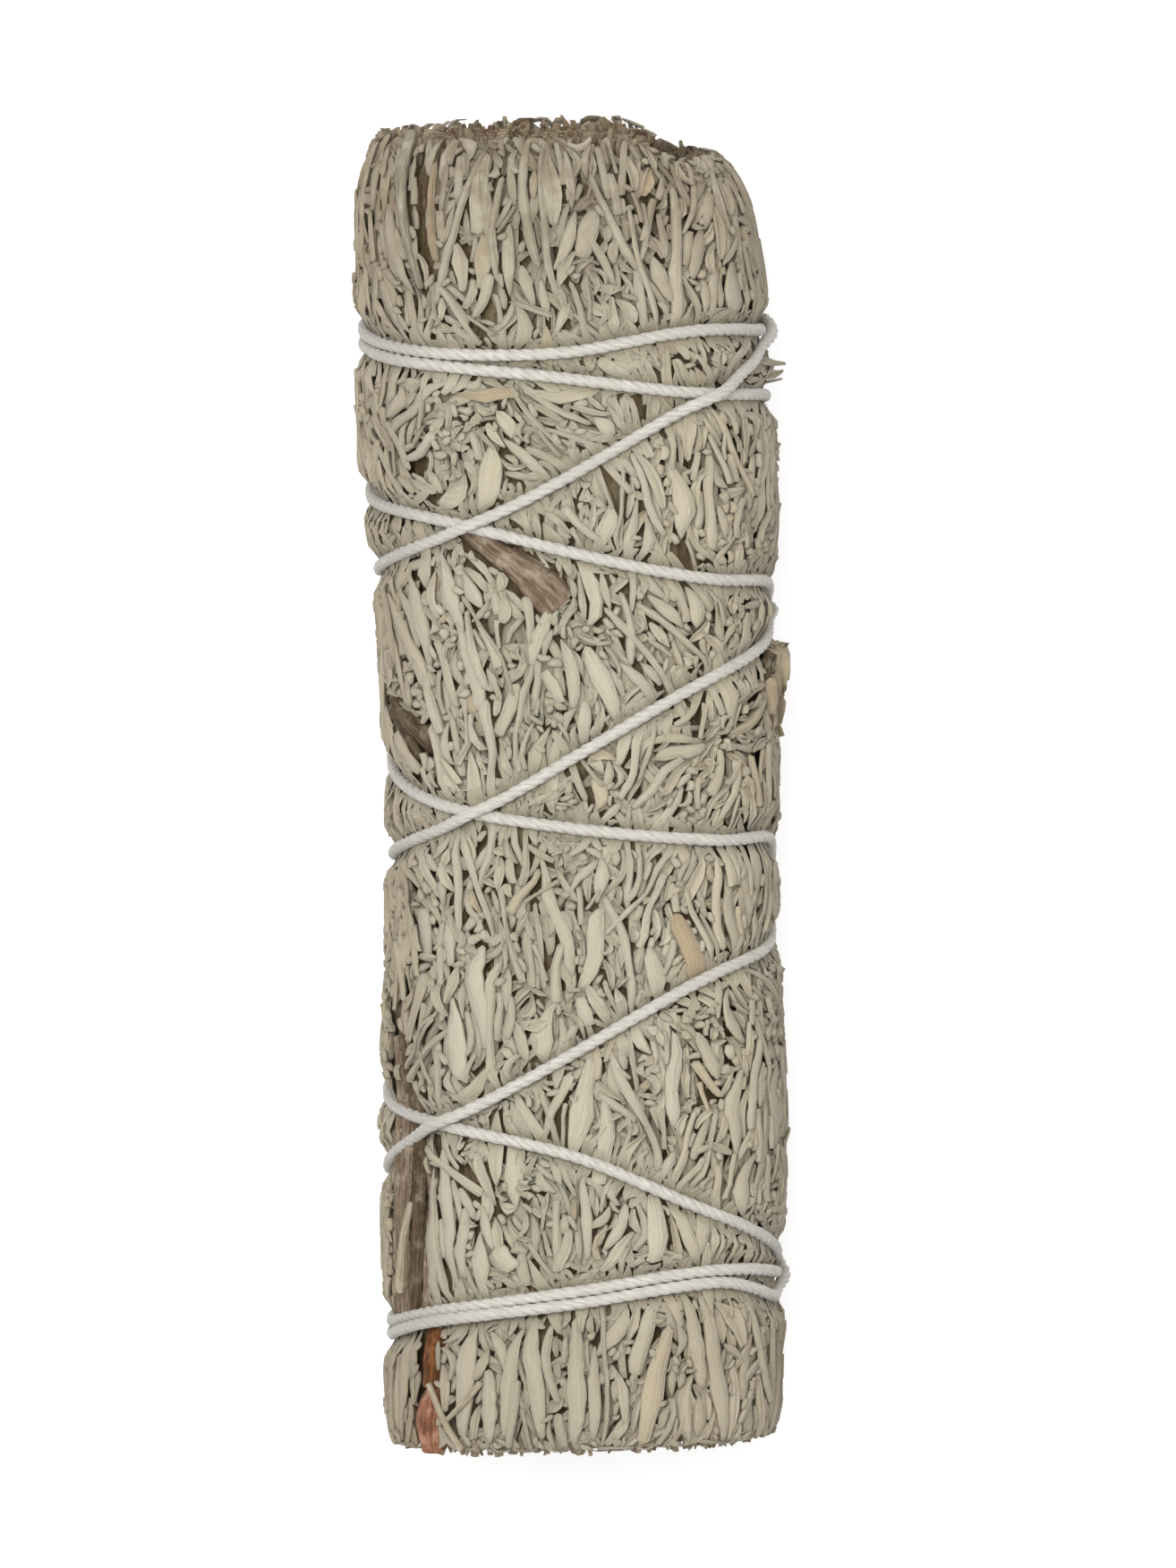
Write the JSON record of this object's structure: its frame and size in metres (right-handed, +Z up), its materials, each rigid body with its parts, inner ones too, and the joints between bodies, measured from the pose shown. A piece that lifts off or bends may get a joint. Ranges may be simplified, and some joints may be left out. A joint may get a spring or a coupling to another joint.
{
  "type": "dried sage bunch",
  "caption": "Dried sage bunch lying on its side: leafy sprigs pressed into a thick roll and wound criss-cross with one cotton string, knotted at the back.",
  "frame": {"origin": "middle of the bunch's footprint, on the surface that it lies on", "axes": "+Y along the bunch towards the top ends of the sprigs, +Z up, +X to the right when looking down with the top ends away"},
  "size_m": [0.0366, 0.1112, 0.0304],
  "materials": {
    "sage_leaf_grey": "matte, downy dried leaf",
    "sage_leaf_tan": "matte, downy dried leaf",
    "sage_leaf_pale": "matte, downy dried leaf",
    "sage_leaf_green": "matte, downy dried leaf",
    "sage_stem_brown": "matte dried stem",
    "grey_bark": "rough fibrous bark",
    "dark_bark": "rough fibrous bark",
    "red_bark": "peeling red-brown bark",
    "green_stem": "smooth dried stem",
    "white_cotton": "soft plied cotton"
  },
  "bodies": {
    "root": {"outer_sprig_01": "sage_leaf_grey", "outer_sprig_02": "sage_leaf_tan", "outer_sprig_03": "sage_leaf_pale", "outer_sprig_04": "sage_leaf_green", "outer_sprig_05": "sage_leaf_grey", "outer_sprig_06": "sage_leaf_tan", "outer_sprig_07": "sage_leaf_pale", "outer_sprig_08": "sage_leaf_green", "outer_sprig_09": "sage_leaf_grey", "outer_sprig_10": "sage_leaf_tan", "outer_sprig_11": "sage_leaf_pale", "outer_sprig_12": "sage_leaf_green", "inner_sprig_1": "sage_leaf_tan", "inner_sprig_2": "sage_leaf_tan", "inner_sprig_3": "sage_leaf_tan", "inner_sprig_4": "sage_leaf_tan", "inner_sprig_5": "sage_leaf_tan", "inner_sprig_6": "sage_leaf_tan", "heart_sprig": "sage_stem_brown", "forked_twig_front": "grey_bark", "dark_twig_left": "dark_bark", "bark_stem_left": "grey_bark", "red_stem_foot": "red_bark", "twig_tip_right": "grey_bark", "grey_stem_top_left": "green_stem", "cotton_string": "white_cotton"}
  },
  "joints": []
}
